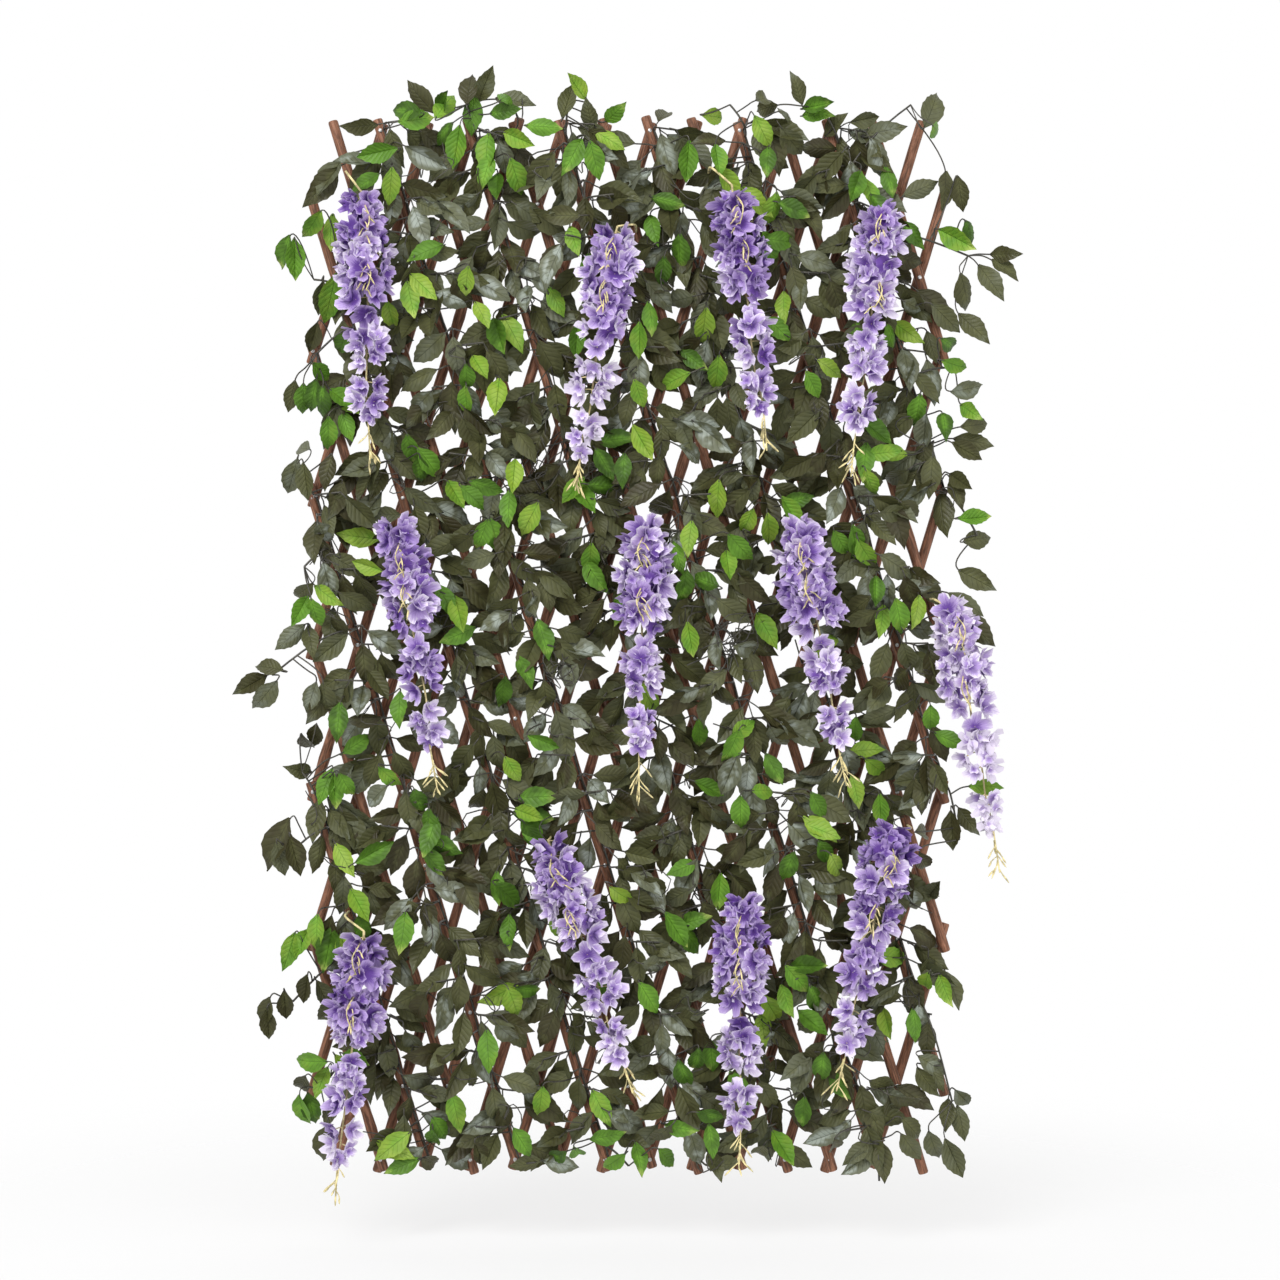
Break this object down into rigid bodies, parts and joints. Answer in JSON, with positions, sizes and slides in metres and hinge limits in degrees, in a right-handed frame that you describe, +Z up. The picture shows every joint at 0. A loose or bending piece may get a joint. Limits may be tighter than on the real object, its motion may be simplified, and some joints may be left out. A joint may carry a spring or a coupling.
{
  "type": "artificial hedge trellis",
  "caption": "Expanding willow trellis of nailed crossing sticks, dressed with artificial leaf garlands and hanging purple wisteria racemes.",
  "frame": {"origin": "centre nail, halfway between the two layers of sticks", "axes": "+X to the right as seen from the front, -Y towards the viewer, +Z up"},
  "size_m": [1.0096, 0.139, 1.5034],
  "materials": {
    "willow": "dry bark",
    "nail_steel": "dull bright",
    "leaf_cloth": "waxed cloth",
    "petal_cloth": "matte cloth"
  },
  "bodies": {
    "centre_nail": {"centre_nail": "nail_steel"},
    "front_stick_01": {"front_stick_01": "willow"},
    "front_stick_02": {"front_stick_02": "willow", "garland_01": "leaf_cloth"},
    "front_stick_03": {"front_stick_03": "willow"},
    "front_stick_04": {"front_stick_04": "willow", "garland_02": "leaf_cloth"},
    "front_stick_05": {"front_stick_05": "willow"},
    "front_stick_06": {"front_stick_06": "willow", "garland_03": "leaf_cloth"},
    "front_stick_07": {"front_stick_07": "willow"},
    "front_stick_08": {"front_stick_08": "willow", "garland_04": "leaf_cloth"},
    "front_stick_09": {"front_stick_09": "willow"},
    "front_stick_10": {"front_stick_10": "willow", "garland_05": "leaf_cloth"},
    "front_stick_11": {"front_stick_11": "willow"},
    "front_stick_12": {"front_stick_12": "willow", "garland_06": "leaf_cloth"},
    "front_stick_13": {"front_stick_13": "willow"},
    "front_stick_14": {"front_stick_14": "willow", "garland_07": "leaf_cloth"},
    "front_stick_15": {"front_stick_15": "willow"},
    "front_stick_16": {"front_stick_16": "willow", "garland_08": "leaf_cloth"},
    "front_stick_17": {"front_stick_17": "willow"},
    "front_stick_18": {"front_stick_18": "willow", "garland_09": "leaf_cloth"},
    "front_stick_19": {"front_stick_19": "willow"},
    "rear_stick_01": {"rear_stick_01": "willow"},
    "rear_stick_02": {"rear_stick_02": "willow"},
    "rear_stick_03": {"rear_stick_03": "willow"},
    "rear_stick_04": {"rear_stick_04": "willow"},
    "rear_stick_05": {"rear_stick_05": "willow"},
    "rear_stick_06": {"rear_stick_06": "willow"},
    "rear_stick_07": {"rear_stick_07": "willow"},
    "rear_stick_08": {"rear_stick_08": "willow"},
    "rear_stick_09": {"rear_stick_09": "willow"},
    "rear_stick_10": {"rear_stick_10": "willow"},
    "rear_stick_11": {"rear_stick_11": "willow"},
    "rear_stick_12": {"rear_stick_12": "willow"},
    "rear_stick_13": {"rear_stick_13": "willow"},
    "rear_stick_14": {"rear_stick_14": "willow"},
    "rear_stick_15": {"rear_stick_15": "willow"},
    "rear_stick_16": {"rear_stick_16": "willow"},
    "rear_stick_17": {"rear_stick_17": "willow"},
    "rear_stick_18": {"rear_stick_18": "willow"},
    "rear_stick_19": {"rear_stick_19": "willow"},
    "raceme_01": {"raceme_01": "petal_cloth"},
    "raceme_02": {"raceme_02": "petal_cloth"},
    "raceme_03": {"raceme_03": "petal_cloth"},
    "raceme_04": {"raceme_04": "petal_cloth"},
    "raceme_05": {"raceme_05": "petal_cloth"},
    "raceme_06": {"raceme_06": "petal_cloth"},
    "raceme_07": {"raceme_07": "petal_cloth"},
    "raceme_08": {"raceme_08": "petal_cloth"},
    "raceme_09": {"raceme_09": "petal_cloth"},
    "raceme_10": {"raceme_10": "petal_cloth"},
    "raceme_11": {"raceme_11": "petal_cloth"},
    "raceme_12": {"raceme_12": "petal_cloth"}
  },
  "joints": [
    {"name": "fold", "type": "hinge", "parent": "centre_nail", "child": "front_stick_10", "pos_m": [0, 0, 0], "axis": [0, -1, 0], "range_deg": [-11, 28], "deforming": ["garland_01", "garland_02", "garland_03", "garland_04", "garland_05", "garland_06", "garland_07", "garland_08", "garland_09", "raceme_01", "raceme_02", "raceme_03", "raceme_04", "raceme_05", "raceme_06", "raceme_07", "raceme_08", "raceme_09", "raceme_10", "raceme_11", "raceme_12"]},
    {"name": "rear_stick_10_turn", "type": "hinge", "parent": "centre_nail", "child": "rear_stick_10", "pos_m": [0, 0, 0], "axis": [0, -1, 0], "range_deg": [-28, 11]},
    {"name": "front_stick_01_turn", "type": "hinge", "parent": "rear_stick_07", "child": "front_stick_01", "pos_m": [-0.35085, 0, -0.57378], "axis": [0, -1, 0], "range_deg": [-22, 56]},
    {"name": "front_stick_02_turn", "type": "hinge", "parent": "rear_stick_07", "child": "front_stick_02", "pos_m": [-0.32161, 0, -0.47815], "axis": [0, -1, 0], "range_deg": [-22, 56]},
    {"name": "front_stick_03_turn", "type": "hinge", "parent": "rear_stick_10", "child": "front_stick_03", "pos_m": [-0.20466, 0, -0.66941], "axis": [0, -1, 0], "range_deg": [-22, 56]},
    {"name": "front_stick_04_turn", "type": "hinge", "parent": "rear_stick_10", "child": "front_stick_04", "pos_m": [-0.17542, 0, -0.57378], "axis": [0, -1, 0], "range_deg": [-22, 56]},
    {"name": "front_stick_05_turn", "type": "hinge", "parent": "rear_stick_10", "child": "front_stick_05", "pos_m": [-0.14619, 0, -0.47815], "axis": [0, -1, 0], "range_deg": [-22, 56]},
    {"name": "front_stick_06_turn", "type": "hinge", "parent": "rear_stick_10", "child": "front_stick_06", "pos_m": [-0.11695, 0, -0.38252], "axis": [0, -1, 0], "range_deg": [-22, 56]},
    {"name": "front_stick_07_turn", "type": "hinge", "parent": "rear_stick_10", "child": "front_stick_07", "pos_m": [-0.08771, 0, -0.28689], "axis": [0, -1, 0], "range_deg": [-22, 56]},
    {"name": "front_stick_08_turn", "type": "hinge", "parent": "rear_stick_10", "child": "front_stick_08", "pos_m": [-0.05847, 0, -0.19126], "axis": [0, -1, 0], "range_deg": [-22, 56]},
    {"name": "front_stick_09_turn", "type": "hinge", "parent": "rear_stick_10", "child": "front_stick_09", "pos_m": [-0.02924, 0, -0.09563], "axis": [0, -1, 0], "range_deg": [-22, 56]},
    {"name": "front_stick_11_turn", "type": "hinge", "parent": "rear_stick_10", "child": "front_stick_11", "pos_m": [0.02924, 0, 0.09563], "axis": [0, -1, 0], "range_deg": [-22, 56]},
    {"name": "front_stick_12_turn", "type": "hinge", "parent": "rear_stick_10", "child": "front_stick_12", "pos_m": [0.05847, 0, 0.19126], "axis": [0, -1, 0], "range_deg": [-22, 56]},
    {"name": "front_stick_13_turn", "type": "hinge", "parent": "rear_stick_10", "child": "front_stick_13", "pos_m": [0.08771, 0, 0.28689], "axis": [0, -1, 0], "range_deg": [-22, 56]},
    {"name": "front_stick_14_turn", "type": "hinge", "parent": "rear_stick_10", "child": "front_stick_14", "pos_m": [0.11695, 0, 0.38252], "axis": [0, -1, 0], "range_deg": [-22, 56]},
    {"name": "front_stick_15_turn", "type": "hinge", "parent": "rear_stick_10", "child": "front_stick_15", "pos_m": [0.14619, 0, 0.47815], "axis": [0, -1, 0], "range_deg": [-22, 56]},
    {"name": "front_stick_16_turn", "type": "hinge", "parent": "rear_stick_10", "child": "front_stick_16", "pos_m": [0.17542, 0, 0.57378], "axis": [0, -1, 0], "range_deg": [-22, 56]},
    {"name": "front_stick_17_turn", "type": "hinge", "parent": "rear_stick_10", "child": "front_stick_17", "pos_m": [0.20466, 0, 0.66941], "axis": [0, -1, 0], "range_deg": [-22, 56]},
    {"name": "front_stick_18_turn", "type": "hinge", "parent": "rear_stick_13", "child": "front_stick_18", "pos_m": [0.32161, 0, 0.47815], "axis": [0, -1, 0], "range_deg": [-22, 56]},
    {"name": "front_stick_19_turn", "type": "hinge", "parent": "rear_stick_13", "child": "front_stick_19", "pos_m": [0.35085, 0, 0.57378], "axis": [0, -1, 0], "range_deg": [-22, 56]},
    {"name": "rear_stick_01_turn", "type": "hinge", "parent": "front_stick_06", "child": "rear_stick_01", "pos_m": [-0.38008, 0, 0.47815], "axis": [0, -1, 0], "range_deg": [-56, 22]},
    {"name": "rear_stick_02_turn", "type": "hinge", "parent": "front_stick_06", "child": "rear_stick_02", "pos_m": [-0.35085, 0, 0.38252], "axis": [0, -1, 0], "range_deg": [-56, 22]},
    {"name": "rear_stick_03_turn", "type": "hinge", "parent": "front_stick_10", "child": "rear_stick_03", "pos_m": [-0.20466, 0, 0.66941], "axis": [0, -1, 0], "range_deg": [-56, 22]},
    {"name": "rear_stick_04_turn", "type": "hinge", "parent": "front_stick_10", "child": "rear_stick_04", "pos_m": [-0.17542, 0, 0.57378], "axis": [0, -1, 0], "range_deg": [-56, 22]},
    {"name": "rear_stick_05_turn", "type": "hinge", "parent": "front_stick_10", "child": "rear_stick_05", "pos_m": [-0.14619, 0, 0.47815], "axis": [0, -1, 0], "range_deg": [-56, 22]},
    {"name": "rear_stick_06_turn", "type": "hinge", "parent": "front_stick_10", "child": "rear_stick_06", "pos_m": [-0.11695, 0, 0.38252], "axis": [0, -1, 0], "range_deg": [-56, 22]},
    {"name": "rear_stick_07_turn", "type": "hinge", "parent": "front_stick_10", "child": "rear_stick_07", "pos_m": [-0.08771, 0, 0.28689], "axis": [0, -1, 0], "range_deg": [-56, 22]},
    {"name": "rear_stick_08_turn", "type": "hinge", "parent": "front_stick_10", "child": "rear_stick_08", "pos_m": [-0.05847, 0, 0.19126], "axis": [0, -1, 0], "range_deg": [-56, 22]},
    {"name": "rear_stick_09_turn", "type": "hinge", "parent": "front_stick_10", "child": "rear_stick_09", "pos_m": [-0.02924, 0, 0.09563], "axis": [0, -1, 0], "range_deg": [-56, 22]},
    {"name": "rear_stick_11_turn", "type": "hinge", "parent": "front_stick_10", "child": "rear_stick_11", "pos_m": [0.02924, 0, -0.09563], "axis": [0, -1, 0], "range_deg": [-56, 22]},
    {"name": "rear_stick_12_turn", "type": "hinge", "parent": "front_stick_10", "child": "rear_stick_12", "pos_m": [0.05847, 0, -0.19126], "axis": [0, -1, 0], "range_deg": [-56, 22]},
    {"name": "rear_stick_13_turn", "type": "hinge", "parent": "front_stick_10", "child": "rear_stick_13", "pos_m": [0.08771, 0, -0.28689], "axis": [0, -1, 0], "range_deg": [-56, 22]},
    {"name": "rear_stick_14_turn", "type": "hinge", "parent": "front_stick_10", "child": "rear_stick_14", "pos_m": [0.11695, 0, -0.38252], "axis": [0, -1, 0], "range_deg": [-56, 22]},
    {"name": "rear_stick_15_turn", "type": "hinge", "parent": "front_stick_10", "child": "rear_stick_15", "pos_m": [0.14619, 0, -0.47815], "axis": [0, -1, 0], "range_deg": [-56, 22]},
    {"name": "rear_stick_16_turn", "type": "hinge", "parent": "front_stick_10", "child": "rear_stick_16", "pos_m": [0.17542, 0, -0.57378], "axis": [0, -1, 0], "range_deg": [-56, 22]},
    {"name": "rear_stick_17_turn", "type": "hinge", "parent": "front_stick_10", "child": "rear_stick_17", "pos_m": [0.20466, 0, -0.66941], "axis": [0, -1, 0], "range_deg": [-56, 22]},
    {"name": "rear_stick_18_turn", "type": "hinge", "parent": "front_stick_13", "child": "rear_stick_18", "pos_m": [0.32161, 0, -0.47815], "axis": [0, -1, 0], "range_deg": [-56, 22]},
    {"name": "rear_stick_19_turn", "type": "hinge", "parent": "front_stick_13", "child": "rear_stick_19", "pos_m": [0.35085, 0, -0.57378], "axis": [0, -1, 0], "range_deg": [-56, 22]},
    {"name": "raceme_01_swing", "type": "hinge", "parent": "front_stick_07", "child": "raceme_01", "pos_m": [-0.36108, 0, 0.60725], "axis": [0, -1, 0], "range_deg": [-28, 11]},
    {"name": "raceme_02_swing", "type": "hinge", "parent": "front_stick_13", "child": "raceme_02", "pos_m": [0.01111, 0, 0.53744], "axis": [0, -1, 0], "range_deg": [-28, 11]},
    {"name": "raceme_03_swing", "type": "hinge", "parent": "front_stick_15", "child": "raceme_03", "pos_m": [0.10525, 0, 0.61203], "axis": [0, -1, 0], "range_deg": [-28, 11]},
    {"name": "raceme_04_swing", "type": "hinge", "parent": "front_stick_18", "child": "raceme_04", "pos_m": [0.30407, 0, 0.53553], "axis": [0, -1, 0], "range_deg": [-28, 11]},
    {"name": "raceme_05_swing", "type": "hinge", "parent": "front_stick_06", "child": "raceme_05", "pos_m": [-0.28068, 0, 0.15301], "axis": [0, -1, 0], "range_deg": [-28, 11]},
    {"name": "raceme_06_swing", "type": "hinge", "parent": "front_stick_11", "child": "raceme_06", "pos_m": [0.01316, 0, 0.14823], "axis": [0, -1, 0], "range_deg": [-28, 11]},
    {"name": "raceme_07_swing", "type": "hinge", "parent": "front_stick_15", "child": "raceme_07", "pos_m": [0.24501, 0, 0.15492], "axis": [0, -1, 0], "range_deg": [-28, 11]},
    {"name": "raceme_08_swing", "type": "hinge", "parent": "front_stick_17", "child": "raceme_08", "pos_m": [0.39119, 0, 0.05929], "axis": [0, -1, 0], "range_deg": [-28, 11]},
    {"name": "raceme_09_swing", "type": "hinge", "parent": "front_stick_07", "child": "raceme_09", "pos_m": [-0.09941, 0, -0.24864], "axis": [0, -1, 0], "range_deg": [-28, 11]},
    {"name": "raceme_10_swing", "type": "hinge", "parent": "front_stick_15", "child": "raceme_10", "pos_m": [0.364, 0, -0.2343], "axis": [0, -1, 0], "range_deg": [-28, 11]},
    {"name": "raceme_11_swing", "type": "hinge", "parent": "front_stick_02", "child": "raceme_11", "pos_m": [-0.36196, 0, -0.34618], "axis": [0, -1, 0], "range_deg": [-28, 11]},
    {"name": "raceme_12_swing", "type": "hinge", "parent": "front_stick_11", "child": "raceme_12", "pos_m": [0.15788, 0, -0.32514], "axis": [0, -1, 0], "range_deg": [-28, 11]}
  ],
  "couplings": [
    {"joint": "rear_stick_10_turn", "follows": "fold", "ratio": -1},
    {"joint": "front_stick_01_turn", "follows": "fold", "ratio": 2},
    {"joint": "front_stick_02_turn", "follows": "fold", "ratio": 2},
    {"joint": "front_stick_03_turn", "follows": "fold", "ratio": 2},
    {"joint": "front_stick_04_turn", "follows": "fold", "ratio": 2},
    {"joint": "front_stick_05_turn", "follows": "fold", "ratio": 2},
    {"joint": "front_stick_06_turn", "follows": "fold", "ratio": 2},
    {"joint": "front_stick_07_turn", "follows": "fold", "ratio": 2},
    {"joint": "front_stick_08_turn", "follows": "fold", "ratio": 2},
    {"joint": "front_stick_09_turn", "follows": "fold", "ratio": 2},
    {"joint": "front_stick_11_turn", "follows": "fold", "ratio": 2},
    {"joint": "front_stick_12_turn", "follows": "fold", "ratio": 2},
    {"joint": "front_stick_13_turn", "follows": "fold", "ratio": 2},
    {"joint": "front_stick_14_turn", "follows": "fold", "ratio": 2},
    {"joint": "front_stick_15_turn", "follows": "fold", "ratio": 2},
    {"joint": "front_stick_16_turn", "follows": "fold", "ratio": 2},
    {"joint": "front_stick_17_turn", "follows": "fold", "ratio": 2},
    {"joint": "front_stick_18_turn", "follows": "fold", "ratio": 2},
    {"joint": "front_stick_19_turn", "follows": "fold", "ratio": 2},
    {"joint": "rear_stick_01_turn", "follows": "fold", "ratio": -2},
    {"joint": "rear_stick_02_turn", "follows": "fold", "ratio": -2},
    {"joint": "rear_stick_03_turn", "follows": "fold", "ratio": -2},
    {"joint": "rear_stick_04_turn", "follows": "fold", "ratio": -2},
    {"joint": "rear_stick_05_turn", "follows": "fold", "ratio": -2},
    {"joint": "rear_stick_06_turn", "follows": "fold", "ratio": -2},
    {"joint": "rear_stick_07_turn", "follows": "fold", "ratio": -2},
    {"joint": "rear_stick_08_turn", "follows": "fold", "ratio": -2},
    {"joint": "rear_stick_09_turn", "follows": "fold", "ratio": -2},
    {"joint": "rear_stick_11_turn", "follows": "fold", "ratio": -2},
    {"joint": "rear_stick_12_turn", "follows": "fold", "ratio": -2},
    {"joint": "rear_stick_13_turn", "follows": "fold", "ratio": -2},
    {"joint": "rear_stick_14_turn", "follows": "fold", "ratio": -2},
    {"joint": "rear_stick_15_turn", "follows": "fold", "ratio": -2},
    {"joint": "rear_stick_16_turn", "follows": "fold", "ratio": -2},
    {"joint": "rear_stick_17_turn", "follows": "fold", "ratio": -2},
    {"joint": "rear_stick_18_turn", "follows": "fold", "ratio": -2},
    {"joint": "rear_stick_19_turn", "follows": "fold", "ratio": -2},
    {"joint": "raceme_01_swing", "follows": "fold", "ratio": -1},
    {"joint": "raceme_02_swing", "follows": "fold", "ratio": -1},
    {"joint": "raceme_03_swing", "follows": "fold", "ratio": -1},
    {"joint": "raceme_04_swing", "follows": "fold", "ratio": -1},
    {"joint": "raceme_05_swing", "follows": "fold", "ratio": -1},
    {"joint": "raceme_06_swing", "follows": "fold", "ratio": -1},
    {"joint": "raceme_07_swing", "follows": "fold", "ratio": -1},
    {"joint": "raceme_08_swing", "follows": "fold", "ratio": -1},
    {"joint": "raceme_09_swing", "follows": "fold", "ratio": -1},
    {"joint": "raceme_10_swing", "follows": "fold", "ratio": -1},
    {"joint": "raceme_11_swing", "follows": "fold", "ratio": -1},
    {"joint": "raceme_12_swing", "follows": "fold", "ratio": -1}
  ]
}
